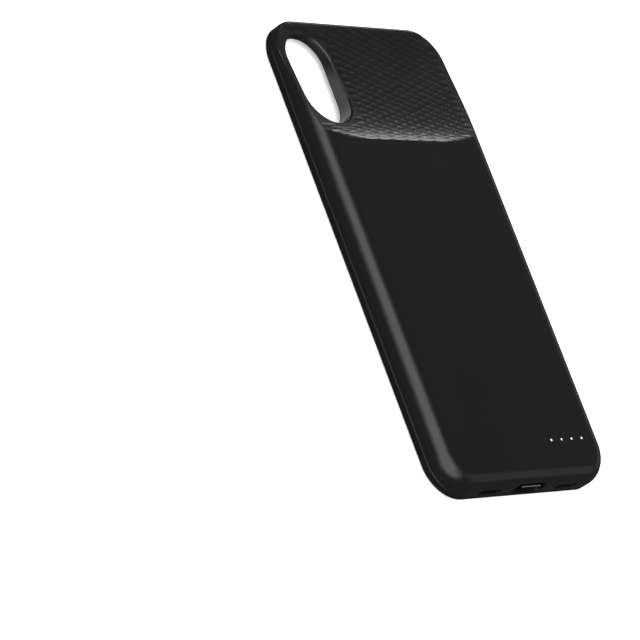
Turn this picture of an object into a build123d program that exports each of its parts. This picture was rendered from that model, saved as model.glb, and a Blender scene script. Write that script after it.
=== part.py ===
"""Battery charging case for the back of a phone: a humped back shell, a soft rim and what lies inside.

Frame, in millimetres: the case lies face down. X runs across it, Y along it to the camera end, and Z up
out of its back. The origin is at the middle of the outline, on the plane that the rim rests on.
"""
import math
import os

from build123d import *

# Outline and section of the case
CASE_W = 73.5
CASE_L = 149.0
CASE_T = 9.0
CORNER_R = 11.0
BACK_ROUND = 5.4
SEAM_Z = 3.0
SEAM_BEVEL = 0.3
LIP_BEVEL = 0.8
WALL = 1.1
BAY_EASE = 0.9

# Scooped ramp between the hump and the camera end
CREASE_FROM_TOP = 40.6
CREASE_STRAIGHT = 32.0
CREASE_BEND_R = 55.0
CREASE_LIP = 0.1
RAMP_END_Z = 5.0
RAMP_SAG = 0.8
RAMP_EDGE_ROUND = 1.0
RAMP_ROOM = 6.0

# Slanted rows of grip ridges on the ramp
GRIP_PITCH = 1.08
GRIP_W = 0.5
GRIP_H = 0.03
GRIP_MARGIN = 0.8

# Tray for the phone
TRAY_DEPTH = 2.2
RIM_WALL = 1.5
PLATE_T = 0.6
PLATE_GAP = 0.1
LEDGE_STEP = 0.2

# Camera opening
CAMERA_W = 17.7
CAMERA_L = 30.2
CAMERA_SIDE = 2.8
CAMERA_TOP = 4.6
CAMERA_COLLAR = 0.7
CAMERA_RIM_BEVEL = 0.4

# Stiffening ribs of the back shell
RIB_T = 0.8
RIB_PITCH = 13.0
RIB_COUNT = 3
RIB_FIRST_X = -6.0
RIB_END_GAP = 3.0

# Wireless charging coil on the inner plate
COIL_UP = 7.0
COIL_OUTER_D = 44.0
COIL_INNER_D = 20.0
COIL_T = 0.5
FERRITE_SIDE = 50.0
FERRITE_T = 0.4
LEAD_W = 0.9
LEAD_T = 0.35
LEAD_SPACING = 2.4
LEAD_LAP = 1.6

# Magnets that hold the phone
MAGNET_W = 4.0
MAGNET_L = 16.0
MAGNET_T = 0.8
MAGNET_GAP = 1.4
MAGNET_SPAN = 30.0

# Battery cell and its protection board
CELL_SIDE_GAP = 4.65
CELL_T = 3.6
CELL_EDGE_R = 1.5
CELL_CORNER_R = 2.0
CELL_END_GAP = 0.8
TAPE_T = 0.15
TAPE_MARGIN = 6.0
PAD_W = 3.6
PAD_GAP = 1.0
PAD_MARGIN = 3.0
PROTECTION_W = 32.0
PROTECTION_D = 3.4
PROTECTION_T = 0.6
PROTECTION_GAP = 0.3
TAB_W = 4.0
TAB_T = 0.15
TAB_SPACING = 18.0
BATTERY_LEAD_D = 0.9
BATTERY_LEAD_SPACING = 12.0
BATTERY_LEAD_LAP = 1.4

# Main board at the bottom end
BOARD_W = 56.0
BOARD_D = 12.8
BOARD_T = 0.8
BOARD_R = 4.0
BOARD_KEY_GAP = 0.3
BOARD_CELL_GAP = 0.7
BOARD_FIT = 0.1
SOLDER_TAB_T = 0.2
SOLDER_TAB_W = 0.8
SOLDER_TAB_L = 1.6

# Charge socket
SOCKET_W = 9.0
SOCKET_H = 3.2
SOCKET_D = 7.2
SOCKET_WALL = 0.3
SOCKET_RECESS = 1.0
SOCKET_BACK_T = 1.2
TONGUE_W = 6.7
TONGUE_T = 0.7
TONGUE_RECESS = 0.6
PORT_W = 13.6
PORT_H = 4.2

# Power key and the slots beside the socket
SLOT_X = 17.2
SLOT_W = 9.2
SLOT_H = 2.0
KEY_GAP = 0.15
KEY_RECESS = 0.45
KEY_TRAVEL = 0.4
KEY_BEVEL = 0.25
FLANGE_LAP = 0.7
FLANGE_LAP_Z = 0.2
FLANGE_T = 0.6
FLANGE_GAP = 0.2
SWITCH_W = 4.8
SWITCH_D = 3.2
SWITCH_H = 1.6
PLUNGER_W = 1.8
PLUNGER_D = 0.5
PLUNGER_H = 1.0
PLUNGER_GAP = 0.1

# Charge lights
LED_COUNT = 4
LED_PITCH = 4.67
LED_FROM_SIDE = 17.25
LED_FROM_END = 12.6
LED_W = 1.6
LED_D = 0.8
LED_H = 0.6
LIGHT_TIP_D = 0.9
LIGHT_POST_W = 1.5
LIGHT_BAR_D = 2.0
LIGHT_BAR_T = 0.8
LIGHT_BAR_END = 1.4
LIGHT_FIT = 0.05
LIGHT_GAP = 0.1

# Board screws and bosses
BOSS_D = 3.6
SCREW_D = 1.2
SCREW_HEAD_D = 2.6
SCREW_HEAD_T = 0.7
SCREW_BITE = 2.0
SCREW_FIT = 0.1
BOSS_PLACES = ((-24.0, 6.0), (24.0, 8.2))

# Other components on the board: middle X, distance of the middle from the board's upper edge, width, depth,
# height
INDUCTOR = (-17.0, 6.6, 6.0, 6.0, 2.4)
INDUCTOR_CORE_D = 4.6
CHIPS = ((-10.0, 6.4, 4.0, 4.0, 0.9), (0.0, 3.2, 3.0, 3.0, 0.9), (-10.6, 2.2, 3.0, 1.8, 0.8))
CAPACITOR_COUNT = 5
CAPACITOR_FIRST_X = -24.5
CAPACITOR_PITCH = 2.6
CAPACITOR = (1.2, 2.0, 1.2)
CAPACITOR_FROM_EDGE = 1.8

# Heights and places that follow from the sizes above
TOP_Y = CASE_L / 2
BOTTOM_Y = -CASE_L / 2
CREASE_Y = TOP_Y - CREASE_FROM_TOP
PLATE_TOP = TRAY_DEPTH + PLATE_T
LEDGE_Z = TRAY_DEPTH + LEDGE_STEP
CEILING = CASE_T - WALL
PORT_Z = PLATE_TOP + SOCKET_H / 2
BOARD_LOW = PORT_Z - BOARD_T / 2
BOARD_TOP = PORT_Z + BOARD_T / 2
KEY_FACE_Y = BOTTOM_Y + KEY_RECESS
FLANGE_TOP = PORT_Z + SLOT_H / 2 + FLANGE_LAP_Z
BAY_BEVEL = BACK_ROUND - WALL - BAY_EASE
BAY_LEAN = max(0.0, FLANGE_TOP - CEILING + BAY_BEVEL)
FLANGE_FRONT_Y = BOTTOM_Y + WALL + BAY_LEAN + FLANGE_GAP
FLANGE_BACK_Y = FLANGE_FRONT_Y + FLANGE_T
PLUNGER_TIP_Y = FLANGE_BACK_Y + KEY_TRAVEL + PLUNGER_GAP
SWITCH_FRONT_Y = PLUNGER_TIP_Y + PLUNGER_D
BOARD_FRONT_Y = FLANGE_BACK_Y + KEY_TRAVEL + BOARD_KEY_GAP
BOARD_BACK_Y = BOARD_FRONT_Y + BOARD_D
CAMERA_X = -CASE_W / 2 + CAMERA_SIDE + CAMERA_W / 2
CAMERA_Y = TOP_Y - CAMERA_TOP - CAMERA_L / 2
SOCKET_MOUTH_Y = BOTTOM_Y + SOCKET_RECESS
PROTECTION_Y = BOARD_BACK_Y + BOARD_CELL_GAP + PROTECTION_D / 2
PROTECTION_LOW = BOARD_TOP + BATTERY_LEAD_D
CELL_LOW_Y = PROTECTION_Y + PROTECTION_D / 2 + PROTECTION_GAP
CELL_HIGH_Y = CREASE_Y - CELL_END_GAP
CELL_W = CASE_W - 2 * (WALL + CELL_SIDE_GAP)
CELL_L = CELL_HIGH_Y - CELL_LOW_Y
CELL_Y = (CELL_HIGH_Y + CELL_LOW_Y) / 2
CELL_TOP = CEILING - TAPE_T
CELL_LOW = CELL_TOP - CELL_T
COIL_Y = CELL_Y + COIL_UP
COLUMN_X = FERRITE_SIDE / 2 + MAGNET_GAP + MAGNET_W / 2
LED_Y = BOTTOM_Y + LED_FROM_END
LED_MID_X = CASE_W / 2 - LED_FROM_SIDE
LED_XS = [LED_MID_X + (i - (LED_COUNT - 1) / 2) * LED_PITCH for i in range(LED_COUNT)]


def box(x, y, low, width, depth, height):
    """A block centred on x and y that stands on the height low."""
    return Pos(x, y, low + height / 2) * Box(width, depth, height)


def post(x, y, low, diameter, height):
    """A round post that stands on the height low."""
    return Pos(x, y, low + height / 2) * Cylinder(diameter / 2, height)


def outline(inset):
    """The plan outline of the case, brought in by inset."""
    return RectangleRounded(CASE_W - 2 * inset, CASE_L - 2 * inset, CORNER_R - inset)


def prism(sketch, low, high):
    """A plan sketch made solid between two heights."""
    return extrude(Pos(0, 0, low) * sketch, high - low)


def end_pill(x, z, width, height, y_from, y_to):
    """A pill-shaped bar along Y, centred on x and z."""
    face = Plane(origin=(x, y_from, z), x_dir=(1, 0, 0), z_dir=(0, 1, 0)) * SlotOverall(width, height)
    return extrude(face, y_to - y_from)


def camera_pill(grow, low, high):
    """The camera opening's pill, grown by grow all round."""
    pill = SlotOverall(CAMERA_L + 2 * grow, CAMERA_W + 2 * grow, rotation=90)
    return prism(Pos(CAMERA_X, CAMERA_Y) * pill, low, high)


def ramp_curve():
    """Radius, middle Y and middle Z of the ramp's hollow curve."""
    run = TOP_Y - CREASE_Y
    start_z = CASE_T - CREASE_LIP
    drop = start_z - RAMP_END_Z
    chord = math.hypot(run, drop)
    radius = chord ** 2 / (8 * RAMP_SAG) + RAMP_SAG / 2
    lift = radius - RAMP_SAG
    middle_y = (TOP_Y + CREASE_Y) / 2 + lift * drop / chord
    middle_z = (start_z + RAMP_END_Z) / 2 + lift * run / chord
    return radius, middle_y, middle_z


def ramp_cylinder(inset):
    """The large cylinder above the ramp whose underside is the ramp's hollow curve, inset below it."""
    radius, middle_y, middle_z = ramp_curve()
    return Pos(0, middle_y, middle_z) * Rot(0, 90, 0) * Cylinder(radius + inset, 2 * CASE_W)


def scoop_plan(inset):
    """Plan of the scoop with the ramp in it: a crease straight in the middle and bent up at its ends."""
    middle_y = CREASE_Y + CREASE_BEND_R
    return Pos(0, middle_y) * SlotCenterToCenter(CREASE_STRAIGHT, 2 * (CREASE_BEND_R - inset))


def rounded_block(inset):
    """The block of the hump with its rounded upper edge, its outline brought in by inset."""
    block = prism(outline(inset), 0, CASE_T)
    return fillet(block.edges().group_by(Axis.Z)[-1], BACK_ROUND)


def case_form():
    """The outer form of the case: the rounded hump, with the ramp scooped out of it up to the crease."""
    blank = prism(outline(0), -RAMP_ROOM, CASE_T + RAMP_ROOM) - ramp_cylinder(0)
    ramp = blank.faces().filter_by(GeomType.CYLINDER).sort_by(SortBy.AREA)[-1]
    rim = [edge for edge in ramp.edges() if edge.center().Z < CASE_T + RAMP_ROOM / 2]
    hump = prism(outline(0) - scoop_plan(0), 0, CASE_T)
    return rounded_block(0) & (fillet(rim, RAMP_EDGE_ROUND) + hump)


def bay_form(inset, low):
    """The inner form that the back shell is hollowed with, inset from the outer one."""
    bay = prism(outline(inset), low, CASE_T - inset)
    bay = chamfer(bay.edges().group_by(Axis.Z)[-1], BAY_BEVEL)
    return bay - ramp_cylinder(inset)


def grip_ridges():
    """Rows of low flat ridges across the ramp, clear of its edges and of the camera opening."""
    rows = int(CREASE_FROM_TOP / GRIP_PITCH)
    strips = [Pos(0, TOP_Y - (i + 0.5) * GRIP_PITCH) * Rectangle(CASE_W, GRIP_W) for i in range(rows)]
    zone = rounded_block(RAMP_EDGE_ROUND + GRIP_MARGIN)
    zone -= camera_pill(CAMERA_RIM_BEVEL + GRIP_MARGIN, 0, CASE_T)
    zone &= prism(scoop_plan(GRIP_MARGIN), 0, CASE_T)
    zone &= ramp_cylinder(WALL / 2) - ramp_cylinder(-GRIP_H)
    return prism(Sketch() + strips, 0, CASE_T) & zone


def back_shell():
    """Humped back: a hollow moulding with the camera opening, bosses, ribs and end cut-outs."""
    shell = case_form() & prism(outline(-WALL), SEAM_Z, CASE_T + WALL)
    shell -= bay_form(WALL, 0)
    shell += grip_ridges()
    filling = bay_form(WALL / 2, PLATE_TOP)
    inner = camera_pill(CAMERA_COLLAR, PLATE_TOP, CASE_T) + cell_stop()
    for x in [RIB_FIRST_X + i * RIB_PITCH for i in range(RIB_COUNT)]:
        rib_l = TOP_Y - RIB_END_GAP - CREASE_Y
        inner += box(x, CREASE_Y + rib_l / 2, PLATE_TOP, RIB_T, rib_l, CASE_T)
    for x, from_edge in BOSS_PLACES:
        inner += post(x, BOARD_BACK_Y - from_edge, BOARD_TOP, BOSS_D, CASE_T)
    shell += inner & filling
    shell += camera_pill(CAMERA_COLLAR, TRAY_DEPTH, SEAM_Z)
    for x, from_edge in BOSS_PLACES:
        shell -= post(x, BOARD_BACK_Y - from_edge, BOARD_TOP, SCREW_D + SCREW_FIT, SCREW_BITE + SCREW_FIT)
    shell = bevel_camera_rim(shell - camera_pill(0, 0, CASE_T + 1))
    shell -= port_cut()
    for side in (-1, 1):
        shell -= end_pill(side * SLOT_X, PORT_Z, SLOT_W, SLOT_H, BOTTOM_Y - 1, FLANGE_FRONT_Y)
    for x in LED_XS:
        shell -= post(x, LED_Y, CEILING - WALL, LIGHT_TIP_D + 2 * LIGHT_FIT, 3 * WALL)
    return shell


def bevel_camera_rim(shell):
    """Bevels the outer edge of the camera opening."""
    walls = [face for face in shell.faces() if on_camera_wall(face)]
    rim = [edge for face in walls for edge in face.edges() if on_outer_rim(edge)]
    return chamfer(rim, CAMERA_RIM_BEVEL)


def on_camera_wall(face):
    """True for an upright face that lines the camera opening."""
    middle = face.center()
    reach = camera_reach(middle.X, middle.Y)
    return abs(face.normal_at(middle).Z) < 0.01 and reach < CAMERA_W / 2 + CAMERA_COLLAR / 2


def camera_reach(x, y):
    """How far a point lies from the straight middle line of the camera opening."""
    half_line = (CAMERA_L - CAMERA_W) / 2
    along = max(-half_line, min(half_line, y - CAMERA_Y))
    return math.hypot(x - CAMERA_X, y - CAMERA_Y - along)


def on_outer_rim(edge):
    """True for an edge of the opening's wall that lies on the back of the case."""
    return edge.center().Z > SEAM_Z and abs(edge.tangent_at(0.5).Z) < 0.5


def cell_stop():
    """Cross rib that the battery's upper end rests against."""
    return box(0, CREASE_Y + RIB_T / 2, PLATE_TOP, CELL_W, RIB_T, CASE_T)


def port_cut():
    """Cut-out of the end wall in front of the charge socket."""
    return end_pill(0, PORT_Z, PORT_W, PORT_H, BOTTOM_Y - 1, BOTTOM_Y + WALL + BAY_BEVEL)


def soft_frame():
    """Soft rim round the phone tray, with a ledge that carries the inner plate."""
    frame = prism(outline(0), 0, SEAM_Z)
    frame = chamfer(frame.edges().group_by(Axis.Z)[0], LIP_BEVEL)
    frame = chamfer(frame.edges().group_by(Axis.Z)[-1], SEAM_BEVEL)
    frame -= prism(outline(RIM_WALL), -1, SEAM_Z)
    frame -= prism(outline(WALL), LEDGE_Z, SEAM_Z + 1)
    return frame - port_cut()


def inner_plate():
    """Flat plate that closes the bay and is the phone tray's floor, with a rebated edge on the ledge."""
    plate = prism(outline(WALL + PLATE_GAP), LEDGE_Z, PLATE_TOP)
    plate += prism(outline(RIM_WALL + PLATE_GAP), TRAY_DEPTH, PLATE_TOP)
    return plate - camera_pill(CAMERA_COLLAR + PLATE_GAP, 0, CASE_T)


def charging_coil():
    """Flat wound coil on the plate."""
    coil = post(0, COIL_Y, PLATE_TOP, COIL_OUTER_D, COIL_T)
    return coil - post(0, COIL_Y, 0, COIL_INNER_D, CASE_T)


def ferrite_sheet():
    """Magnetic sheet between the coil and the battery."""
    return box(0, COIL_Y, PLATE_TOP + COIL_T, FERRITE_SIDE, FERRITE_SIDE, FERRITE_T)


def coil_leads():
    """Two flat leads from the coil along the plate and up to the board's underside."""
    start_y = COIL_Y - COIL_OUTER_D / 2
    end_y = BOARD_BACK_Y - LEAD_LAP
    low, high = PLATE_TOP, PLATE_TOP + LEAD_T
    side = Polyline((start_y, low), (end_y, low), (end_y, BOARD_LOW), (end_y + LEAD_T, BOARD_LOW),
                    (end_y + LEAD_T, high), (start_y, high), close=True)
    lead = extrude(Plane.YZ * make_face(side), LEAD_W / 2, both=True)
    return [Pos(x, 0, 0) * lead for x in (-LEAD_SPACING / 2, LEAD_SPACING / 2)]


def holding_magnets():
    """Bar magnets on the plate, two on each side of the coil."""
    return [box(side * COLUMN_X, COIL_Y + end * MAGNET_SPAN / 2, PLATE_TOP, MAGNET_W, MAGNET_L, MAGNET_T)
            for side in (-1, 1) for end in (-1, 1)]


def battery_cell():
    """Flat pouch cell with rounded long edges."""
    section = Plane.XZ * RectangleRounded(CELL_W, CELL_T, CELL_EDGE_R)
    cell = extrude(section, CELL_L / 2, both=True)
    plan = RectangleRounded(CELL_W, CELL_L, CELL_CORNER_R)
    cell &= prism(plan, -CELL_T, CELL_T)
    return Pos(0, CELL_Y, CELL_LOW + CELL_T / 2) * cell


def cell_tape():
    """Adhesive sheet between the cell and the shell's ceiling."""
    return box(0, CELL_Y, CELL_TOP, CELL_W - 2 * TAPE_MARGIN, CELL_L - 2 * TAPE_MARGIN, TAPE_T)


def foam_pads():
    """Foam strips between the plate and the cell: between the magnets and at the cell's lower end."""
    length = MAGNET_SPAN - MAGNET_L - 2 * PAD_GAP
    middles = (COIL_Y, CELL_LOW_Y + PAD_MARGIN + length / 2)
    return [box(side * COLUMN_X, y, PLATE_TOP, PAD_W, length, CELL_LOW - PLATE_TOP)
            for side in (-1, 1) for y in middles]


def protection_board():
    """Narrow circuit board at the cell's lower end."""
    return box(0, PROTECTION_Y, PROTECTION_LOW, PROTECTION_W, PROTECTION_D, PROTECTION_T)


def cell_tabs():
    """Two metal tabs from the cell's end face onto the protection board."""
    low_y = PROTECTION_Y - PROTECTION_D / 4
    length = CELL_LOW_Y - low_y
    middle_y = low_y + length / 2
    return [box(side * TAB_SPACING / 2, middle_y, PROTECTION_LOW + PROTECTION_T, TAB_W, length, TAB_T)
            for side in (-1, 1)]


def battery_leads():
    """Two short wires that join the protection board to the main board."""
    low_y = BOARD_BACK_Y - BATTERY_LEAD_LAP
    high_y = BOARD_BACK_Y + BOARD_CELL_GAP + BATTERY_LEAD_LAP
    z = BOARD_TOP + BATTERY_LEAD_D / 2
    return [Pos(side * BATTERY_LEAD_SPACING / 2, (low_y + high_y) / 2, z) * Rot(90, 0, 0)
            * Cylinder(BATTERY_LEAD_D / 2, high_y - low_y) for side in (-1, 1)]


def main_board():
    """Circuit board with notches for the socket and the key switch."""
    plan = RectangleRounded(BOARD_W, BOARD_D, BOARD_R)
    board = prism(Pos(0, (BOARD_FRONT_Y + BOARD_BACK_Y) / 2) * plan, BOARD_LOW, BOARD_TOP)
    socket_back_y = SOCKET_MOUTH_Y + SOCKET_D + BOARD_FIT
    board -= notch(0, SOCKET_W + 2 * BOARD_FIT, socket_back_y)
    board -= notch(SLOT_X, SWITCH_W + 2 * BOARD_FIT, SWITCH_FRONT_Y + SWITCH_D + BOARD_FIT)
    for x, from_edge in BOSS_PLACES:
        board -= post(x, BOARD_BACK_Y - from_edge, 0, SCREW_D + 2 * SCREW_FIT, CASE_T)
    return board


def notch(x, width, back_y):
    """A notch from the board's front edge back to back_y."""
    depth = back_y - BOTTOM_Y
    return box(x, BOTTOM_Y + depth / 2, 0, width, depth, CASE_T)


def solder_tabs(x, width, back_y):
    """The two feet of a notched component that lie on the board beside it."""
    tabs = None
    for side in (-1, 1):
        tab_x = x + side * (width / 2 + SOLDER_TAB_W / 2)
        tab = box(tab_x, back_y - SOLDER_TAB_L, BOARD_TOP, SOLDER_TAB_W, SOLDER_TAB_L, SOLDER_TAB_T)
        tabs = tab if tabs is None else tabs + tab
    return tabs


def charge_socket():
    """Metal shell of the charge socket."""
    back_y = SOCKET_MOUTH_Y + SOCKET_D
    shell = end_pill(0, PORT_Z, SOCKET_W, SOCKET_H, SOCKET_MOUTH_Y, back_y)
    bore_w = SOCKET_W - 2 * SOCKET_WALL
    shell += solder_tabs(0, bore_w, back_y) & box(0, back_y, BOARD_TOP, BOARD_W, BOARD_D, CASE_T)
    bore_h = SOCKET_H - 2 * SOCKET_WALL
    return shell - end_pill(0, PORT_Z, bore_w, bore_h, SOCKET_MOUTH_Y - 1, back_y + 1)


def socket_tongue():
    """Contact tongue of the socket on the block that closes the socket's back."""
    back_y = SOCKET_MOUTH_Y + SOCKET_D
    bore_w = SOCKET_W - 2 * SOCKET_WALL
    bore_h = SOCKET_H - 2 * SOCKET_WALL
    block = end_pill(0, PORT_Z, bore_w, bore_h, back_y - SOCKET_BACK_T, back_y)
    front_y = SOCKET_MOUTH_Y + TONGUE_RECESS
    length = back_y - front_y
    return block + box(0, front_y + length / 2, PORT_Z - TONGUE_T / 2, TONGUE_W, length, TONGUE_T)


def power_key():
    """Push key in the right-hand slot, with a flange behind the wall."""
    cap = end_pill(SLOT_X, PORT_Z, SLOT_W - 2 * KEY_GAP, SLOT_H - 2 * KEY_GAP, KEY_FACE_Y, FLANGE_BACK_Y)
    cap = chamfer(cap.edges().group_by(Axis.Y)[0], KEY_BEVEL)
    flange_w = SLOT_W + 2 * FLANGE_LAP
    flange_h = SLOT_H + 2 * FLANGE_LAP_Z
    flange_d = FLANGE_BACK_Y - FLANGE_FRONT_Y
    middle_y = FLANGE_FRONT_Y + flange_d / 2
    return cap + box(SLOT_X, middle_y, PORT_Z - flange_h / 2, flange_w, flange_d, flange_h)


def key_switch():
    """Side-push switch behind the key, set in a notch of the board."""
    back_y = SWITCH_FRONT_Y + SWITCH_D
    body = box(SLOT_X, SWITCH_FRONT_Y + SWITCH_D / 2, PORT_Z - SWITCH_H / 2, SWITCH_W, SWITCH_D, SWITCH_H)
    plunger_y = PLUNGER_TIP_Y + PLUNGER_D / 2
    body += box(SLOT_X, plunger_y, PORT_Z - PLUNGER_H / 2, PLUNGER_W, PLUNGER_D, PLUNGER_H)
    return body + solder_tabs(SLOT_X, SWITCH_W, back_y)


def charge_leds():
    """Four small lamps on the board under the light guide."""
    return [box(x, LED_Y, BOARD_TOP, LED_W, LED_D, LED_H) for x in LED_XS]


def light_guide():
    """Clear comb: a bar under the ceiling, posts down to the lamps and tips through the shell."""
    bar_w = (LED_COUNT - 1) * LED_PITCH + LIGHT_POST_W + 2 * LIGHT_BAR_END
    guide = box(LED_MID_X, LED_Y, CEILING - LIGHT_BAR_T, bar_w, LIGHT_BAR_D, LIGHT_BAR_T)
    low = BOARD_TOP + LED_H + LIGHT_GAP
    for x in LED_XS:
        guide += box(x, LED_Y, low, LIGHT_POST_W, LIGHT_POST_W, CEILING - LIGHT_BAR_T - low)
        guide += post(x, LED_Y, CEILING, LIGHT_TIP_D, WALL)
    return guide


def on_board(place):
    """A block on the board's upper face, from its row of place and size."""
    x, from_edge, width, depth, height = place
    return box(x, BOARD_BACK_Y - from_edge, BOARD_TOP, width, depth, height)


def power_inductor():
    """Wound inductor: a square base with a round core on it."""
    x, from_edge, width, depth, height = INDUCTOR
    base = on_board((x, from_edge, width, depth, height / 3))
    return base + post(x, BOARD_BACK_Y - from_edge, BOARD_TOP, INDUCTOR_CORE_D, height)


def control_chips():
    """Charge and power control chips."""
    return [on_board(chip) for chip in CHIPS]


def capacitors():
    """Row of capacitors along the board's upper edge."""
    width, depth, height = CAPACITOR
    return [on_board((CAPACITOR_FIRST_X + i * CAPACITOR_PITCH, CAPACITOR_FROM_EDGE, width, depth, height))
            for i in range(CAPACITOR_COUNT)]


def board_screws():
    """Screws that hold the board up against the shell's bosses."""
    screws = []
    for x, from_edge in BOSS_PLACES:
        y = BOARD_BACK_Y - from_edge
        shank = post(x, y, BOARD_LOW, SCREW_D, BOARD_T + SCREW_BITE)
        screws.append(shank + post(x, y, BOARD_LOW - SCREW_HEAD_T, SCREW_HEAD_D, SCREW_HEAD_T))
    return screws


NODES = (back_shell, soft_frame, inner_plate, charging_coil, ferrite_sheet, coil_leads, holding_magnets,
         battery_cell, cell_tape, foam_pads, protection_board, cell_tabs, battery_leads, main_board,
         charge_socket, socket_tongue, power_key, key_switch, charge_leds, light_guide, power_inductor,
         control_chips, capacitors, board_screws)

os.makedirs("parts", exist_ok=True)
for make in NODES:
    shape = make()
    if isinstance(shape, list):
        shape = Compound(children=shape)
    export_step(shape, f"parts/{make.__name__}.step")
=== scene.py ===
"""Looks of a slim battery charging case for the back of a phone.

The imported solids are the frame. They keep their shapes and get finishes, and the fine woven relief of the
ramp, the contacts of the socket and the other small details are modelled on top of them. The frame is in
metres: X across the case, Y along it to the camera end, Z up out of its back. Classes whose sizes are in
millimetres say so.
"""
import logging
import math
from dataclasses import dataclass
from enum import Enum
from typing import Callable, Dict, List, Tuple, Union

import bpy
from mathutils import Matrix, Vector


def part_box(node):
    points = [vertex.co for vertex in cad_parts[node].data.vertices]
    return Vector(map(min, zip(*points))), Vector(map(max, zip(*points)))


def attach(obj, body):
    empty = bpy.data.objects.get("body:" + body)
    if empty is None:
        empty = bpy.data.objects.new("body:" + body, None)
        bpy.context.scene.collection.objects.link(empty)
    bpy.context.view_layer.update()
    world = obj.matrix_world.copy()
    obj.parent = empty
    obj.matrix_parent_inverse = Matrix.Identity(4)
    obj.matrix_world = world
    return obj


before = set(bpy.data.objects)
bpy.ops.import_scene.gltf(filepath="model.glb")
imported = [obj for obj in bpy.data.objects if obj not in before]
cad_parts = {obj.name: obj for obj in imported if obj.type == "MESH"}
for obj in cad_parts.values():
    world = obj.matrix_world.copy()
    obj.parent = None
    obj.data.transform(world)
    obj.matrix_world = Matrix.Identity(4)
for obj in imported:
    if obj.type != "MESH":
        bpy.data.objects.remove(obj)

LOG = logging.getLogger("battery_case")
MM = 0.001
CUT_CLOSE = 1e-7
SHELL_LOW, SHELL_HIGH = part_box("back_shell")
Colour = Tuple[float, float, float]
Point = Tuple[float, float, float]
Tree = bpy.types.NodeTree
Port = bpy.types.NodeSocket

# Places of the colour sockets on a Mix node
MIX_FIRST, MIX_SECOND, MIX_RESULT = 6, 7, 2


class Body(Enum):
    """The body that the new pieces ride on."""

    CASE = "case"


class Slot(Enum):
    """The record's material slots, by name."""

    SHELL = "shell_soft_touch"
    SOCKET = "socket_steel"
    TAB = "tab_nickel"


class Surface(Enum):
    """What a finish is made of, as the shader's metallic value."""

    PLASTIC = 0.0
    METAL = 1.0


class Grain(Enum):
    """The effects that finishes share, by the names of their node groups.

    Moulded is the fine grain of plastic, rubber and paint. Drawn is the long fine lines of drawn, rolled or
    brushed metal along Y. Wound is rings of wire round the middle of the coordinates.
    """

    MOULDED = "moulded_grain"
    DRAWN = "drawn_lines"
    WOUND = "wound_turns"

    def group(self) -> Tree:
        """Return the effect's node group, which is built at its first use."""
        return bpy.data.node_groups.get(self.value) or GrainGroup(self).build()


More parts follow.
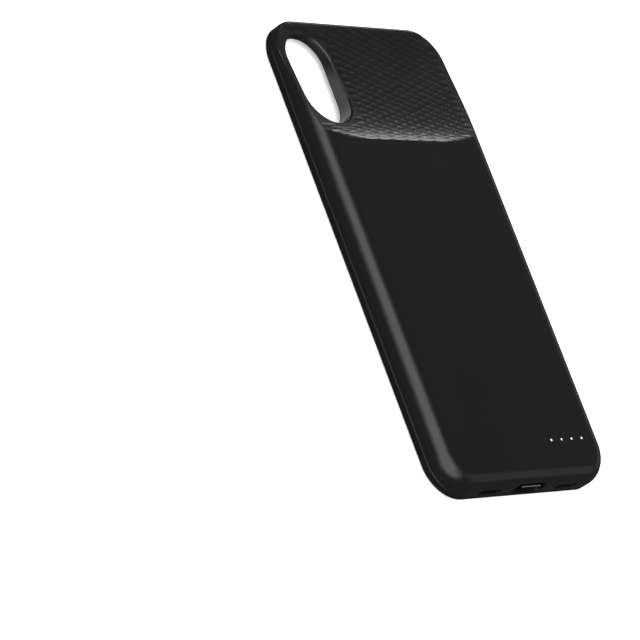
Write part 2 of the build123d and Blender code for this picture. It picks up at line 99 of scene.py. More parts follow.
class GrainGroup:
    """A shared effect's node group: tone and roughness in broad patches, and a fine height."""

    INPUTS: Dict[str, str] = {
        "Vector": "NodeSocketVector", "Dark": "NodeSocketColor", "Light": "NodeSocketColor",
        "Smooth": "NodeSocketFloat", "Rough": "NodeSocketFloat",
        "Patch Scale": "NodeSocketFloat", "Grain Scale": "NodeSocketFloat",
    }
    OUTPUTS: Dict[str, str] = {
        "Color": "NodeSocketColor", "Roughness": "NodeSocketFloat", "Height": "NodeSocketFloat",
    }
    NOISE_LOW = 0.3
    NOISE_HIGH = 0.7
    NOISE_DETAIL = 2.0
    MOULDED_PATCH_DETAIL = 3.0
    DRAWN_STRETCH = (1.0, 0.04, 1.0)

    def __init__(self, grain: Grain) -> None:
        """Start the group with its named inputs and outputs.

        Args:
            grain: The effect.
        """
        self.grain = grain
        self.tree = bpy.data.node_groups.new(grain.value, "ShaderNodeTree")
        for name, kind in self.INPUTS.items():
            self.tree.interface.new_socket(name, in_out="INPUT", socket_type=kind)
        for name, kind in self.OUTPUTS.items():
            self.tree.interface.new_socket(name, in_out="OUTPUT", socket_type=kind)
        self.inputs = self.tree.nodes.new("NodeGroupInput").outputs
        self.outputs = self.tree.nodes.new("NodeGroupOutput").inputs

    def build(self) -> Tree:
        """Wire the patterns to the outputs.

        Returns:
            The finished group.
        """
        vector = self.inputs["Vector"]
        patch_detail = self.NOISE_DETAIL
        if self.grain is Grain.DRAWN:
            vector = self._stretched(vector)
        if self.grain is Grain.MOULDED:
            patch_detail = self.MOULDED_PATCH_DETAIL
        patch = self._noise(vector, self.inputs["Patch Scale"], patch_detail)
        if self.grain is Grain.WOUND:
            fine = self._rings(vector)
        else:
            fine = self._noise(vector, self.inputs["Grain Scale"], self.NOISE_DETAIL)
        self.tree.links.new(self._tone(patch), self.outputs["Color"])
        self.tree.links.new(self._roughness(patch), self.outputs["Roughness"])
        self.tree.links.new(fine, self.outputs["Height"])
        return self.tree

    def _stretched(self, vector: Port) -> Port:
        """Stretch a pattern along Y.

        Args:
            vector: Socket of the coordinates.

        Returns:
            The socket of the stretched coordinates.
        """
        node = self.tree.nodes.new("ShaderNodeVectorMath")
        node.operation = "MULTIPLY"
        node.inputs[1].default_value = self.DRAWN_STRETCH
        self.tree.links.new(vector, node.inputs[0])
        return node.outputs["Vector"]

    def _noise(self, vector: Port, scale: Port, detail: float) -> Port:
        """Add a noise pattern.

        Args:
            vector: Socket of the coordinates.
            scale: Socket of the scale.
            detail: Levels of finer noise.

        Returns:
            The socket that holds the noise.
        """
        node = self.tree.nodes.new("ShaderNodeTexNoise")
        node.inputs["Detail"].default_value = detail
        self.tree.links.new(vector, node.inputs["Vector"])
        self.tree.links.new(scale, node.inputs["Scale"])
        return node.outputs["Fac"]

    def _rings(self, vector: Port) -> Port:
        """Add a pattern of rings round Z.

        Args:
            vector: Socket of the coordinates.

        Returns:
            The socket that holds the rings.
        """
        node = self.tree.nodes.new("ShaderNodeTexWave")
        node.wave_type = "RINGS"
        node.rings_direction = "Z"
        self.tree.links.new(vector, node.inputs["Vector"])
        self.tree.links.new(self.inputs["Grain Scale"], node.inputs["Scale"])
        return node.outputs["Fac"]

    def _tone(self, patch: Port) -> Port:
        """Mix the dark and the light tone.

        Args:
            patch: Socket of the broad pattern.

        Returns:
            The socket that holds the colour.
        """
        node = self.tree.nodes.new("ShaderNodeMix")
        node.data_type = "RGBA"
        self.tree.links.new(patch, node.inputs["Factor"])
        self.tree.links.new(self.inputs["Dark"], node.inputs[MIX_FIRST])
        self.tree.links.new(self.inputs["Light"], node.inputs[MIX_SECOND])
        return node.outputs[MIX_RESULT]

    def _roughness(self, patch: Port) -> Port:
        """Spread the broad pattern between the smooth and the rough value.

        Args:
            patch: Socket of the broad pattern.

        Returns:
            The socket that holds the roughness.
        """
        node = self.tree.nodes.new("ShaderNodeMapRange")
        node.inputs["From Min"].default_value = self.NOISE_LOW
        node.inputs["From Max"].default_value = self.NOISE_HIGH
        self.tree.links.new(patch, node.inputs["Value"])
        self.tree.links.new(self.inputs["Smooth"], node.inputs["To Min"])
        self.tree.links.new(self.inputs["Rough"], node.inputs["To Max"])
        return node.outputs["Result"]


@dataclass(frozen=True)
class Finish:
    """One surface finish, with its tone, gloss and grain.

    The sizes of the grain and of the patches of tone, and the grain's depth, are in millimetres.
    """

    name: str
    dark: Colour
    light: Colour
    smooth: float
    rough: float
    grain: float = 0.12
    depth: float = 0.01
    patch: float = 12.0
    surface: Surface = Surface.PLASTIC
    effect: Grain = Grain.MOULDED
    specular: float = 0.5
    coat: float = 0.0
    glow: float = 0.0
    bump_strength: float = 0.5
    middle: Point = (0.0, 0.0, 0.0)

    def material(self) -> bpy.types.Material:
        """Build the material at its first use.

        Returns:
            The material.
        """
        name = f"{self.name}_finish"
        found = bpy.data.materials.get(name)
        if found:
            return found
        material = bpy.data.materials.new(name)
        material.use_nodes = True
        nodes, links = material.node_tree.nodes, material.node_tree.links
        shader = nodes["Principled BSDF"]
        self._set_shader(shader)
        place = nodes.new("ShaderNodeTexCoord")
        centre = nodes.new("ShaderNodeMapping")
        centre.vector_type = "TEXTURE"
        centre.inputs["Location"].default_value = self.middle
        group = nodes.new("ShaderNodeGroup")
        group.node_tree = self.effect.group()
        self._set_group(group)
        bump = nodes.new("ShaderNodeBump")
        bump.inputs["Strength"].default_value = self.bump_strength
        bump.inputs["Distance"].default_value = self.depth * MM
        links.new(place.outputs["Object"], centre.inputs["Vector"])
        links.new(centre.outputs["Vector"], group.inputs["Vector"])
        links.new(group.outputs["Color"], shader.inputs["Base Color"])
        links.new(group.outputs["Roughness"], shader.inputs["Roughness"])
        links.new(group.outputs["Height"], bump.inputs["Height"])
        links.new(bump.outputs["Normal"], shader.inputs["Normal"])
        return material

    def _set_shader(self, shader: bpy.types.Node) -> None:
        """Set what is the same all over the surface.

        Args:
            shader: The material's shader node.
        """
        shader.inputs["Metallic"].default_value = self.surface.value
        shader.inputs["Specular IOR Level"].default_value = self.specular
        shader.inputs["Coat Weight"].default_value = self.coat
        shader.inputs["Emission Color"].default_value = (*self.light, 1.0)
        shader.inputs["Emission Strength"].default_value = self.glow

    def _set_group(self, group: bpy.types.Node) -> None:
        """Set the shared effect's inputs.

        Args:
            group: The node that holds the effect.
        """
        group.inputs["Dark"].default_value = (*self.dark, 1.0)
        group.inputs["Light"].default_value = (*self.light, 1.0)
        group.inputs["Smooth"].default_value = self.smooth
        group.inputs["Rough"].default_value = self.rough
        group.inputs["Patch Scale"].default_value = 1.0 / (self.patch * MM)
        group.inputs["Grain Scale"].default_value = 1.0 / (self.grain * MM)

    def dress(self, piece: bpy.types.Object) -> None:
        """Give a piece this finish all over."""
        piece.data.materials.clear()
        piece.data.materials.append(self.material())


# Blacks of the outside
SHELL_BLACK = Finish("shell_black", (0.0050, 0.0050, 0.0053), (0.0062, 0.0062, 0.0065), 0.20, 0.23,
                     grain=0.10, depth=0.004, patch=25.0)
RAMP_BLACK = Finish("ramp_black", (0.0050, 0.0050, 0.0053), (0.0062, 0.0062, 0.0065), 0.16, 0.19,
                    grain=0.10, depth=0.002, patch=25.0)
RIM_BLACK = Finish("rim_black", (0.0032, 0.0032, 0.0035), (0.0042, 0.0042, 0.0045), 0.38, 0.44,
                   grain=0.14, depth=0.006)
PLATE_BLACK = Finish("plate_black", (0.012, 0.012, 0.0125), (0.016, 0.016, 0.0165), 0.55, 0.65,
                     grain=0.25, depth=0.02)
# The key's black is darker than the shell's as painted shade, for the shade that falls on it in its slot.
KEY_BLACK_PAINTED_SHADE = Finish("key_black_painted_shade", (0.0035, 0.0035, 0.0038), (0.0050, 0.0050, 0.0053), 0.36, 0.42,
                   depth=0.003, specular=0.2)

# Other plastics, papers and paints
COMPONENT_BLACK = Finish("component_black", (0.012, 0.012, 0.013), (0.02, 0.02, 0.021), 0.45, 0.6, patch=2.0)
TONGUE_BLACK = Finish("tongue_black", (0.010, 0.010, 0.010), (0.014, 0.014, 0.014), 0.35, 0.45, patch=2.0)
FOAM_DARK = Finish("foam_dark", (0.02, 0.02, 0.022), (0.05, 0.05, 0.053), 0.8, 0.95,
                   grain=0.3, depth=0.1, patch=1.0)
TAPE_WHITE = Finish("tape_white", (0.66, 0.65, 0.58), (0.76, 0.75, 0.68), 0.5, 0.6, depth=0.02, patch=6.0)
LEAD_RED = Finish("lead_red", (0.35, 0.02, 0.015), (0.45, 0.03, 0.02), 0.4, 0.5, patch=3.0)
BOARD_GREEN = Finish("board_green", (0.003, 0.016, 0.008), (0.006, 0.036, 0.016), 0.25, 0.4,
                     grain=0.6, depth=0.03, patch=2.5, coat=0.3)
CAPACITOR_TAN = Finish("capacitor_tan", (0.30, 0.19, 0.10), (0.42, 0.29, 0.17), 0.35, 0.5, patch=1.0)
LAMP_YELLOW = Finish("lamp_yellow", (0.70, 0.62, 0.30), (0.80, 0.74, 0.45), 0.25, 0.35, patch=1.0)
LIGHT_FROSTED = Finish("light_frosted", (0.72, 0.75, 0.78), (0.82, 0.85, 0.88), 0.30, 0.42,
                       patch=1.0, glow=0.5)
FERRITE_GREY = Finish("ferrite_grey", (0.06, 0.06, 0.065), (0.10, 0.10, 0.105), 0.55, 0.7, patch=5.0)

# Metals
CELL_FOIL = Finish("cell_foil", (0.55, 0.56, 0.58), (0.72, 0.73, 0.75), 0.28, 0.42,
                   grain=2.0, depth=0.08, patch=8.0, surface=Surface.METAL)
MAGNET_NICKEL = Finish("magnet_nickel", (0.60, 0.59, 0.57), (0.70, 0.69, 0.67), 0.15, 0.25,
                       patch=3.0, surface=Surface.METAL)
TAB_NICKEL = Finish("tab_nickel", (0.55, 0.54, 0.51), (0.66, 0.65, 0.62), 0.25, 0.38,
                    grain=0.3, patch=2.0, surface=Surface.METAL, effect=Grain.DRAWN)
# The socket's steel is darkened nearly to black as painted shade, for the shade inside the port's mouth.
SOCKET_STEEL_PAINTED_SHADE = Finish("socket_steel", (0.012, 0.012, 0.0125), (0.018, 0.018, 0.0185), 0.30, 0.42,
                      grain=0.25, patch=2.0, surface=Surface.METAL, effect=Grain.DRAWN)
# Painted highlight: the lit copy of the lip's steel, bright on the lip's front edge. The rest of the lip
# takes the steel that is darkened as painted shade.
LIP_STEEL_PAINTED_HIGHLIGHT = Finish("lip_steel_painted_highlight", (0.80, 0.81, 0.82), (0.90, 0.91, 0.92), 0.40, 0.50,
                   grain=0.25, patch=2.0, surface=Surface.METAL, effect=Grain.DRAWN)
SCREW_STEEL = Finish("screw_steel", (0.42, 0.42, 0.42), (0.55, 0.55, 0.55), 0.25, 0.4,
                     patch=1.0, surface=Surface.METAL)
CONTACT_GOLD = Finish("contact_gold", (0.72, 0.50, 0.20), (0.82, 0.60, 0.28), 0.18, 0.28,
                      grain=0.2, patch=1.0, surface=Surface.METAL, effect=Grain.DRAWN)

NODE_FINISHES: Dict[str, Finish] = {
    "back_shell": SHELL_BLACK,
    "soft_frame": RIM_BLACK,
    "inner_plate": PLATE_BLACK,
    "ferrite_sheet": FERRITE_GREY,
    "coil_leads": LEAD_RED,
    "holding_magnets": MAGNET_NICKEL,
    "battery_cell": CELL_FOIL,
    "cell_tape": TAPE_WHITE,
    "foam_pads": FOAM_DARK,
    "protection_board": BOARD_GREEN,
    "cell_tabs": TAB_NICKEL,
    "battery_leads": LEAD_RED,
    "main_board": BOARD_GREEN,
    "charge_socket": SOCKET_STEEL_PAINTED_SHADE,
    "socket_tongue": TONGUE_BLACK,
    "power_key": KEY_BLACK_PAINTED_SHADE,
    "key_switch": COMPONENT_BLACK,
    "charge_leds": LAMP_YELLOW,
    "light_guide": LIGHT_FROSTED,
    "power_inductor": COMPONENT_BLACK,
    "control_chips": COMPONENT_BLACK,
    "capacitors": CAPACITOR_TAN,
    "board_screws": SCREW_STEEL,
}


def coil_finish() -> Finish:
    """Wound copper, with its rings round the middle of the coil."""
    low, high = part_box("charging_coil")
    return Finish("coil_copper", (0.50, 0.19, 0.08), (0.66, 0.30, 0.15), 0.25, 0.35,
                  grain=0.9, depth=0.1, patch=4.0, surface=Surface.METAL, effect=Grain.WOUND,
                  middle=tuple((low + high) / 2))


class Pick(Enum):
    """What is selected in edit mode, as the select mode's switches for vertices, edges and faces."""

    EDGES = (False, True, False)
    FACES = (False, False, True)


class Bench:
    """Modelling by hand, with Blender's own operators."""

    @staticmethod
    def clear() -> None:
        """Leave edit mode and deselect everything."""
        if bpy.context.object and bpy.context.object.mode != "OBJECT":
            bpy.ops.object.mode_set(mode="OBJECT")
        bpy.ops.object.select_all(action="DESELECT")

    @staticmethod
    def settle(name: str) -> bpy.types.Object:
        """Name the active piece and put its place into its mesh.

        Args:
            name: The piece's name.

        Returns:
            The piece, at the origin, unturned and unscaled.
        """
        piece = bpy.context.object
        piece.name = name
        piece.data.name = name
        bpy.ops.object.transform_apply(location=True, rotation=True, scale=True)
        return piece

    @staticmethod
    def apply(piece: bpy.types.Object, kind: str, **settings: float) -> None:
        """Add a modifier to a piece and apply it.

        Args:
            piece: The piece.
            kind: The modifier's type.
            **settings: Its settings.
        """
        bpy.context.view_layer.objects.active = piece
        modifier = piece.modifiers.new(kind.lower(), kind)
        for key, value in settings.items():
            setattr(modifier, key, value)
        bpy.ops.object.modifier_apply(modifier=modifier.name)

    @staticmethod
    def pick(piece: bpy.types.Object, kind: Pick, wanted: Callable[[List[Vector]], bool]) -> None:
        """Go into edit mode with only some of a piece's edges or faces selected.

        Args:
            piece: The piece, which is the active one.
            kind: Edges or faces.
            wanted: Test on the places of an edge's ends or a face's corners.
        """
        mesh = piece.data
        bpy.context.tool_settings.mesh_select_mode = kind.value
        for part in (*mesh.vertices, *mesh.edges, *mesh.polygons):
            part.select = False
        for part in mesh.edges if kind is Pick.EDGES else mesh.polygons:
            part.select = wanted([mesh.vertices[i].co for i in part.vertices])
        bpy.ops.object.mode_set(mode="EDIT")

    @staticmethod
    def smooth(angle_deg: float) -> None:
        """Leave edit mode and smooth the selected piece, except at edges sharper than the angle."""
        bpy.ops.object.mode_set(mode="OBJECT")
        bpy.ops.object.shade_smooth_by_angle(angle=math.radians(angle_deg))

    @classmethod
    def join(cls, pieces: List[bpy.types.Object], name: str) -> bpy.types.Object:
        """Join pieces into one.

        Args:
            pieces: The pieces to join.
            name: The joined piece's name.

        Returns:
            The joined piece.
        """
        cls.clear()
        for piece in pieces:
            piece.select_set(True)
        bpy.context.view_layer.objects.active = pieces[0]
        if len(pieces) > 1:
            bpy.ops.object.join()
        return cls.settle(name)

    @staticmethod
    def copy(piece: bpy.types.Object, place: Matrix) -> bpy.types.Object:
        """Copy a piece, with its own mesh moved to a place.

        Args:
            piece: The piece to copy.
            place: The copy's place.

        Returns:
            The copy.
        """
        twin = piece.copy()
        twin.data = piece.data.copy()
        twin.data.transform(place)
        bpy.context.collection.objects.link(twin)
        return twin


@dataclass(frozen=True)
class RampCurve:
    """The ramp's hollow curve, from the crease down to the camera end. Sizes are in millimetres."""

    crease_from_top: float = 40.6
    crease_lip: float = 0.1
    end_z: float = 5.0
    sag: float = 0.8

    def crease_y(self) -> float:
        """Y of the crease's straight stretch, in metres."""
        return SHELL_HIGH.y - self.crease_from_top * MM

    def _circle(self) -> Tuple[float, float, float]:
        """Work out the circle that the curve lies on.

        Returns:
            Its radius, middle Y and middle Z, in metres.
        """
        start_z = SHELL_HIGH.z - self.crease_lip * MM
        run, drop = self.crease_from_top * MM, start_z - self.end_z * MM
        chord, sag = math.hypot(run, drop), self.sag * MM
        radius = chord ** 2 / (8 * sag) + sag / 2
        lift = radius - sag
        middle_y = SHELL_HIGH.y - run / 2 + lift * drop / chord
        middle_z = start_z - drop / 2 + lift * run / chord
        return radius, middle_y, middle_z

    def height(self, y: float) -> float:
        """Height of the curve at y, in metres."""
        radius, middle_y, middle_z = self._circle()
        return middle_z - math.sqrt(radius ** 2 - (y - middle_y) ** 2)

    def slope(self, y: float) -> float:
        """Rise of the curve at y, along Y."""
        radius, middle_y, _ = self._circle()
        return (y - middle_y) / math.sqrt(radius ** 2 - (y - middle_y) ** 2)


@dataclass
class WovenRamp:
    """Fine woven relief on the ramp: rows of long low bumps, shifted by half from row to row.

    The rows stand closer together near the crease, and there the bumps are flatter and lean over to the
    camera end. Sizes are in millimetres, and a bump's width, height and sink are for one millimetre between
    rows.
    """

    curve: RampCurve = RampCurve()
    bump_length: float = 6.0
    bump_width: float = 1.9
    bump_height: float = 0.037
    bump_sink: float = 0.2
    bump_lift: float = 0.03
    cap_level: float = 0.85
    pitch_x: float = 6.2
    row_shift: float = 0.5
    rows_per_mm: float = 0.66
    crease_rows: float = 3.6
    crease_reach: float = 1.6
    lean_deg: float = 7.0
    lean_reach: float = 4.0
    crease_flattening: float = 0.75
    flattening_reach: float = 8.0
    margin: float = 0.1
    ridge_room: float = 0.05
    segments: int = 16
    rings: int = 20
    smooth_deg: float = 60.0

    def _bump(self) -> bpy.types.Object:
        """Model one bump: the shallow cap of a flattened ball, with a skirt down to below the ramp.

        Returns:
            The bump, with its base at the origin.
        """
        Bench.clear()
        spread = MM / 2 / math.sqrt(1 - self.cap_level ** 2)
        half_height = self.bump_height * MM / (1 - self.cap_level)
        level = self.cap_level * half_height
        bpy.ops.mesh.primitive_uv_sphere_add(segments=self.segments, ring_count=self.rings, radius=1.0)
        bpy.context.object.scale = (self.bump_length * spread, self.bump_width * spread, half_height)
        bump = Bench.settle("woven_bump")
        bpy.ops.object.mode_set(mode="EDIT")
        bpy.ops.mesh.select_all(action="SELECT")
        bpy.ops.transform.translate(value=(0, 0, -level))
        bpy.ops.mesh.bisect(plane_co=(0, 0, 0), plane_no=(0, 0, 1), threshold=CUT_CLOSE, clear_inner=True,
                            use_fill=True)
        bpy.ops.mesh.extrude_region_move(TRANSFORM_OT_translate={"value": (0, 0, -self.bump_sink * MM)})
        Bench.smooth(self.smooth_deg)
        return bump

    def _on_ramp(self, x: float, y: float) -> bool:
        """Look down at the shell and see whether the ramp is there.

        Args:
            x: Place across the case.
            y: Place along the case.

        Returns:
            True where the shell's surface is the ramp's.
        """
        if y < self.curve.crease_y():
            return False
        above = Vector((x, y, 2 * SHELL_HIGH.z))
        hit, point, _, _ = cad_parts["back_shell"].ray_cast(above, Vector((0, 0, -1)))
        return hit and abs(point.z - self.curve.height(y)) < self.ridge_room * MM

    def _fits(self, x: float, y: float, pitch: float) -> bool:
        """See whether there is room for a bump.

        Args:
            x: Place of the bump across the case.
            y: Place of the bump along the case.
            pitch: Distance to the next row, in millimetres.

        Returns:
            True where the whole bump lies on the ramp, clear of its edges.
        """
        reach = (self.bump_length / 2 + self.margin) * MM
        rise = pitch * self.bump_width / 2 * MM
        around = ((0, 0), (reach, 0), (-reach, 0), (0, rise), (0, -rise))
        return all(self._on_ramp(x + dx, y + dy) for dx, dy in around)

    def _near_crease(self, y: float, reach: float) -> float:
        """Share that is 1 at the crease and fades over a reach in millimetres."""
        return math.exp(-(y - self.curve.crease_y()) / (reach * MM))

    def _seat(self, x: float, y: float, pitch: float) -> Matrix:
        """Place a bump on the ramp, along its row.

        Args:
            x: Place of the bump across the case.
            y: Place of the bump along the case.
            pitch: Distance to the next row, in millimetres.

        Returns:
            The bump's place, turn and size.
        """
        lean = math.radians(self.lean_deg) * self._near_crease(y, self.lean_reach)
        flattening = self.crease_flattening * self._near_crease(y, self.flattening_reach)
        place = Matrix.Translation((x, y, self.curve.height(y) + self.bump_lift * MM))
        turn = Matrix.Rotation(math.atan(self.curve.slope(y)) - lean, 4, "X")
        return place @ turn @ Matrix.Diagonal((1, pitch, pitch * (1 - flattening), 1))

    def _rows(self) -> List[Tuple[float, float]]:
        """Space the rows out from the crease to the camera end.

        Returns:
            Each row's distance from the crease and distance to the next row, in millimetres.
        """
        rows, far = [], 0.0
        while far < self.curve.crease_from_top:
            pitch = 1 / (self.rows_per_mm + self.crease_rows / (far + self.crease_reach))
            rows.append((far + pitch / 2, pitch))
            far += pitch
        return rows

    def _seats(self) -> List[Matrix]:
        """Place all the bumps that fit, row by row.

        Returns:
            The bumps' places, turns and sizes.
        """
        columns = int((SHELL_HIGH.x - SHELL_LOW.x) / 2 / (self.pitch_x * MM)) + 1
        seats = []
        for row, (far, pitch) in enumerate(self._rows()):
            y = self.curve.crease_y() + far * MM
            for column in range(-columns, columns + 1):
                x = (column + self.row_shift * (row % 2)) * self.pitch_x * MM
                if self._fits(x, y, pitch):
                    seats.append(self._seat(x, y, pitch))
        return seats

    def build(self) -> List[bpy.types.Object]:
        """Model and dress the relief on the ramp.

        Returns:
            The relief, as the only piece of a list.
        """
        seats = self._seats()
        bump = self._bump()
        bumps = [Bench.copy(bump, seat) for seat in seats]
        bpy.data.objects.remove(bump)
        LOG.info("woven_ramp: %d bumps", len(bumps))
        relief = Bench.join(bumps, "woven_ramp")
        RAMP_BLACK.dress(relief)
        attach(relief, Body.CASE.value)
        return [relief]


@dataclass
class Socket:
    """Contacts on the charge socket's tongue, and the lip over its mouth. Sizes are in millimetres."""

    contact_count: int = 10
    contact_width: float = 0.32
    contact_length: float = 3.2
    contact_height: float = 0.08
    contact_edge: float = 0.03
    contact_edge_steps: int = 2
    tongue_thickness: float = 0.7
    tongue_inset: float = 0.4
    row_share: float = 0.72
    lip_width: float = 8.4
    lip_height: float = 0.3
    lip_reach: float = 0.7
    lip_overlap: float = 0.05
    lip_drop: float = 0.35
    lip_round: float = 0.1
    lip_round_steps: int = 3
    lip_edge: float = 0.26
    smooth_deg: float = 40.0

    def _contact(self) -> bpy.types.Object:
        """Model one contact, which sticks out of the tongue by half its thickness.

        Returns:
            The contact, with its middle at the origin.
        """
        Bench.clear()
        bpy.ops.mesh.primitive_cube_add(size=1.0)
        size = Vector((self.contact_width, self.contact_length, 2 * self.contact_height))
        bpy.context.object.scale = size * MM
        contact = Bench.settle("contact")
        Bench.apply(contact, "BEVEL", width=self.contact_edge * MM, segments=self.contact_edge_steps)
        return contact

    def _contacts(self) -> bpy.types.Object:
        """Model and dress the rows of contacts on both faces of the tongue.

        Returns:
            The contacts, as one piece.
        """
        low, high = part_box("socket_tongue")
        socket_low, socket_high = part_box("charge_socket")
        middle = (socket_low + socket_high) / 2
        pitch = (high.x - low.x) * self.row_share / self.contact_count
        y = low.y + (self.tongue_inset + self.contact_length / 2) * MM
        contact = self._contact()
        contacts = []
        for side in (-1, 1):
            z = middle.z + side * self.tongue_thickness / 2 * MM
            for i in range(self.contact_count):
                x = middle.x + (i - (self.contact_count - 1) / 2) * pitch
                contacts.append(Bench.copy(contact, Matrix.Translation((x, y, z))))
        bpy.data.objects.remove(contact)
        row = Bench.join(contacts, "socket_contacts")
        CONTACT_GOLD.dress(row)
        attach(row, Body.CASE.value)
        return row

    def _bar(self, name: str, front: float, back: float, finish: Finish) -> bpy.types.Object:
        """Model and dress a bar over the socket's mouth, rounded at its front.

        Args:
            name: The bar's name.
            front: How far its front stands before the socket's mouth.
            back: How far its back stands before it.
            finish: Its finish.

        Returns:
            The bar.
        """
        low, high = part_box("charge_socket")
        front_y = low.y - front * MM
        middle_y = low.y - (front + back) / 2 * MM
        Bench.clear()
        place = ((low.x + high.x) / 2, middle_y, high.z - self.lip_drop * MM)
        bpy.ops.mesh.primitive_cube_add(size=1.0, location=place)
        bpy.context.object.scale = (self.lip_width * MM, (front - back) * MM, self.lip_height * MM)
        bar = Bench.settle(name)
        Bench.pick(bar, Pick.EDGES, lambda ends: abs(ends[0].z - ends[1].z) < CUT_CLOSE
                   and all(abs(end.y - front_y) < CUT_CLOSE for end in ends))
        bpy.ops.mesh.bevel(offset=self.lip_round * MM, segments=self.lip_round_steps, affect="EDGES")
        Bench.smooth(self.smooth_deg)
        finish.dress(bar)
        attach(bar, Body.CASE.value)
        return bar

    def build(self) -> List[bpy.types.Object]:
        """Model the lip over the mouth in steel darkened as painted shade, the lip's front edge in bright
        steel as a painted highlight, and the contacts.

        Returns:
            The contacts, the lip and the edge.
        """
        # The lip's body is the shaded copy and its front edge the lit copy of one steel: painted shade and
        # painted highlight.
        lip = self._bar("socket_lip", self.lip_reach - self.lip_edge / 2, -self.lip_overlap, SOCKET_STEEL_PAINTED_SHADE)
        edge = self._bar("socket_lip_highlight_edge", self.lip_reach, self.lip_reach - self.lip_edge, LIP_STEEL_PAINTED_HIGHLIGHT)
        return [self._contacts(), lip, edge]


@dataclass
class ChargeLights:
    """Dark rims round the tips of the charge lights. Sizes are in millimetres."""

    count: int = 4
    pitch: float = 4.67
    rim_width: float = 1.06
    rim_wall: float = 0.20
    rim_height: float = 0.01
    rim_sink: float = 0.02
    rim_sides: int = 24
    smooth_deg: float = 40.0

    def _rim(self) -> bpy.types.Object:
        """Model one rim: a low drum, with its ends inset and bridged into a ring.

        Returns:
            The rim, with the level of the light tips at the origin.
        """
        Bench.clear()
        depth = self.rim_height + self.rim_sink
        middle_z = (self.rim_height - depth / 2) * MM
        bpy.ops.mesh.primitive_cylinder_add(vertices=self.rim_sides, radius=self.rim_width / 2 * MM,
                                            depth=depth * MM, location=(0, 0, middle_z))
        rim = Bench.settle("light_rim")
        Bench.pick(rim, Pick.FACES,
                   lambda corners: all(abs(corner.z - corners[0].z) < CUT_CLOSE for corner in corners))
        bpy.ops.mesh.inset(thickness=self.rim_wall * MM, use_individual=True)
        bpy.ops.mesh.bridge_edge_loops()
        Bench.smooth(self.smooth_deg)
        return rim

    def build(self) -> List[bpy.types.Object]:
        """Model and dress the rims.

        Returns:
            The rims, as the only piece of a list.
        """
        low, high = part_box("light_guide")
        middle = (low + high) / 2
        rim = self._rim()
        rims = []
        for i in range(self.count):
            x = middle.x + (i - (self.count - 1) / 2) * self.pitch * MM
            rims.append(Bench.copy(rim, Matrix.Translation((x, middle.y, high.z))))
        bpy.data.objects.remove(rim)
        row = Bench.join(rims, "light_rims")
        SHELL_BLACK.dress(row)
        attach(row, Body.CASE.value)
        return [row]


class Outline(Enum):
    """The outlines of studio lamps."""

    SQUARE = "RECTANGLE"
    ROUNDED = "ELLIPSE"


@dataclass(frozen=True)
class Softbox:
    """One studio lamp, aimed at a point, with its long side along a direction. Sizes are in metres."""

    name: str
    place: Point
    aim: Point
    along: Point
    length: float
    width: float
    watts: float
    outline: Outline = Outline.ROUNDED

    def build(self) -> None:
        """Add the lamp."""
        bpy.ops.object.light_add(type="AREA")
        lamp = bpy.context.object
        lamp.name = self.name
        lamp.data.shape = self.outline.value
        lamp.data.size = self.length
        lamp.data.size_y = self.width
        lamp.data.energy = self.watts
        back = (Vector(self.place) - Vector(self.aim)).normalized()
        side = back.cross(Vector(self.along)).normalized()
        turn = Matrix((side.cross(back), side, back)).transposed().to_4x4()
        lamp.matrix_world = Matrix.Translation(self.place) @ turn


SOFTBOXES = (
    Softbox("side_softbox", place=(-0.52, -0.20, 0.92), aim=(0.0, 0.0, 0.0), along=(0.0, 1.0, 0.0),
            length=1.7, width=1.2, watts=7.0),
    Softbox("side_spill", place=(-0.55, -0.20, 0.95), aim=(0.0, 0.0, 0.0), along=(0.0, 1.0, 0.0),
            length=2.2, width=2.1, watts=9.3),
    Softbox("ramp_strip", place=(0.746, 0.594, 0.311), aim=(0.0, 0.034, 0.009), along=(0.66, -0.43, -0.61),
            length=0.6, width=0.10, watts=0.79, outline=Outline.SQUARE),
    Softbox("edge_lamp", place=(1.10, 0.33, 0.24), aim=(0.0, 0.0, 0.0), along=(-0.28, 0.96, 0.0),
            length=1.4, width=0.42, watts=0.34),
    Softbox("end_lamp", place=(0.726, -0.462, 0.682), aim=(0.0, -0.07, 0.007), along=(-0.41, -0.03, 0.33),
            length=0.85, width=0.6, watts=0.29),
)


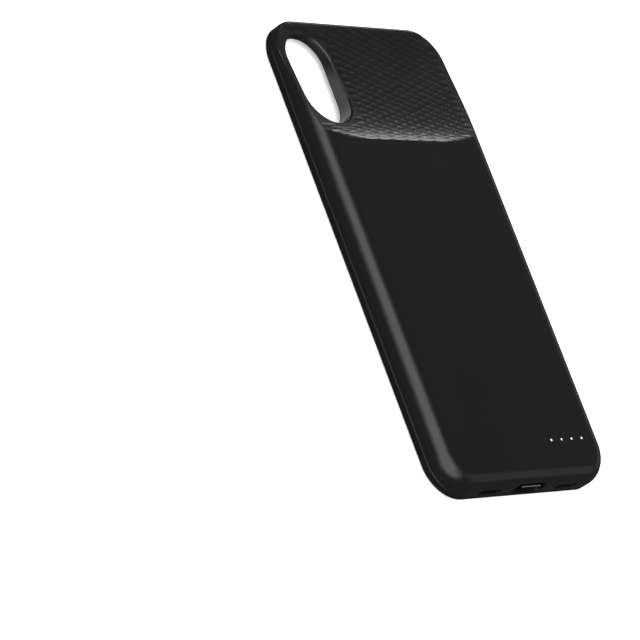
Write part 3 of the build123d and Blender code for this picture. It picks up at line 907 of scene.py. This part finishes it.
@dataclass
class Studio:
    """Floor, lamps, world light and camera. Sizes are in metres, unless their names say otherwise."""

    lamps: Tuple[Softbox, ...] = SOFTBOXES
    floor_size: float = 6.0
    floor_roughness: float = 0.8
    floor_grey: float = 0.88
    floor_grey_in_reflections: float = 0.03
    floor_white: float = 0.35
    world_grey: float = 1.0
    world_grey_in_reflections: float = 0.08
    opening_middle: Tuple[float, float] = (-0.0251, 0.0548)
    opening_half: Tuple[float, float] = (0.0095, 0.016)
    opening_fade: Tuple[float, float] = (0.0560, 0.0655)
    camera_place: Point = (-0.74198, -0.27885, 0.55921)
    look: Point = (0.74399, 0.28202, -0.60576)
    up: Point = (0.01522, 0.89918, 0.43731)
    focal_px: float = 3366.8
    frame_px: float = 640.0
    sensor_mm: float = 36.0

    def build(self) -> None:
        """Set up the floor, the light and the camera."""
        Bench.clear()
        self._floor()
        self._world()
        for lamp in self.lamps:
            lamp.build()
        self._camera()
        bpy.context.scene.view_settings.view_transform = "Standard"

    @staticmethod
    def _math(tree: Tree, operation: str, *values: Union[Port, float]) -> Port:
        """Add a Math node.

        Args:
            tree: The node tree.
            operation: What the node works out.
            *values: Its inputs in order, each a socket or a number.

        Returns:
            The socket that holds the result.
        """
        node = tree.nodes.new("ShaderNodeMath")
        node.operation = operation
        for entry, value in zip(node.inputs, values):
            if isinstance(value, Port):
                tree.links.new(value, entry)
            else:
                entry.default_value = value
        return node.outputs["Value"]

    @staticmethod
    def _flagged(tree: Tree, plain: float, reflected: float) -> Tuple[bpy.types.Node, bpy.types.Node]:
        """Add a grey that differs in reflections, as behind the black flags of a studio.

        Args:
            tree: The node tree of a material or world.
            plain: The grey elsewhere.
            reflected: The grey in reflections.

        Returns:
            The Mix node that gives the grey, and the Light Path node.
        """
        path = tree.nodes.new("ShaderNodeLightPath")
        mix = tree.nodes.new("ShaderNodeMix")
        mix.data_type = "RGBA"
        mix.inputs[MIX_FIRST].default_value = (plain, plain, plain, 1.0)
        mix.inputs[MIX_SECOND].default_value = (reflected, reflected, reflected, 1.0)
        tree.links.new(path.outputs["Is Glossy Ray"], mix.inputs["Factor"])
        return mix, path

    def _outside_opening(self, tree: Tree) -> Port:
        """Mask the floor outside the camera opening, and at the opening's far end.

        Args:
            tree: The floor's node tree.

        Returns:
            The socket that is 0 under the opening's near part and 1 elsewhere.
        """
        place = tree.nodes.new("ShaderNodeTexCoord")
        axes = tree.nodes.new("ShaderNodeSeparateXYZ")
        tree.links.new(place.outputs["Object"], axes.inputs["Vector"])
        fade = tree.nodes.new("ShaderNodeMapRange")
        fade.interpolation_type = "SMOOTHSTEP"
        fade.inputs["From Min"].default_value, fade.inputs["From Max"].default_value = self.opening_fade
        fade.inputs["To Min"].default_value = 1.0
        fade.inputs["To Max"].default_value = 0.0
        tree.links.new(axes.outputs["Y"], fade.inputs["Value"])
        inside = fade.outputs["Result"]
        for axis, middle, half in zip("XY", self.opening_middle, self.opening_half):
            near = self._math(tree, "COMPARE", axes.outputs[axis], middle, half)
            inside = self._math(tree, "MULTIPLY", inside, near)
        return self._math(tree, "SUBTRACT", 1.0, inside)

    def _floor(self) -> None:
        """Lay the plain pale floor under the case."""
        bpy.ops.mesh.primitive_plane_add(size=self.floor_size)
        floor = Bench.settle("floor")
        material = bpy.data.materials.new("floor_pale")
        material.use_nodes = True
        tree = material.node_tree
        shader = tree.nodes["Principled BSDF"]
        shader.inputs["Roughness"].default_value = self.floor_roughness
        grey, path = self._flagged(tree, self.floor_grey, self.floor_grey_in_reflections)
        flag = self._math(tree, "MULTIPLY", path.outputs["Is Glossy Ray"], self._outside_opening(tree))
        tree.links.new(flag, grey.inputs["Factor"])
        tree.links.new(grey.outputs[MIX_RESULT], shader.inputs["Base Color"])
        white = self._math(tree, "MULTIPLY", path.outputs["Is Camera Ray"], self.floor_white)
        shader.inputs["Emission Color"].default_value = (1.0, 1.0, 1.0, 1.0)
        tree.links.new(white, shader.inputs["Emission Strength"])
        floor.data.materials.append(material)

    def _world(self) -> None:
        """Give the world a plain soft light."""
        world = bpy.data.worlds.new("studio_world")
        world.use_nodes = True
        tree = world.node_tree
        grey, _ = self._flagged(tree, self.world_grey, self.world_grey_in_reflections)
        tree.links.new(grey.outputs[MIX_RESULT], tree.nodes["Background"].inputs["Color"])
        bpy.context.scene.world = world

    def _camera(self) -> None:
        """Place the camera at the photograph's viewing angle."""
        look, up = Vector(self.look).normalized(), Vector(self.up).normalized()
        right = look.cross(up).normalized()
        up = right.cross(look)
        data = bpy.data.cameras.new("photo_camera")
        data.sensor_width = self.sensor_mm
        data.lens = self.focal_px / self.frame_px * self.sensor_mm
        camera = bpy.data.objects.new("photo_camera", data)
        turn = Matrix((right, up, -look)).transposed().to_4x4()
        camera.matrix_world = Matrix.Translation(self.camera_place) @ turn
        bpy.context.collection.objects.link(camera)
        bpy.context.scene.camera = camera


def dress_nodes() -> None:
    """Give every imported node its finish."""
    for name, finish in {**NODE_FINISHES, "charging_coil": coil_finish()}.items():
        finish.dress(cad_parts[name])
        LOG.info("%s: %s", name, finish.name)


def main() -> None:
    """Build the pieces, dress them, and set up the studio."""
    logging.basicConfig(level=logging.INFO)
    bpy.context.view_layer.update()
    dress_nodes()
    for assembly in (WovenRamp(), Socket(), ChargeLights()):
        for piece in assembly.build():
            LOG.info("%s: %d faces", piece.name, len(piece.data.polygons))
    Studio().build()


if __name__ == "__main__":
    main()
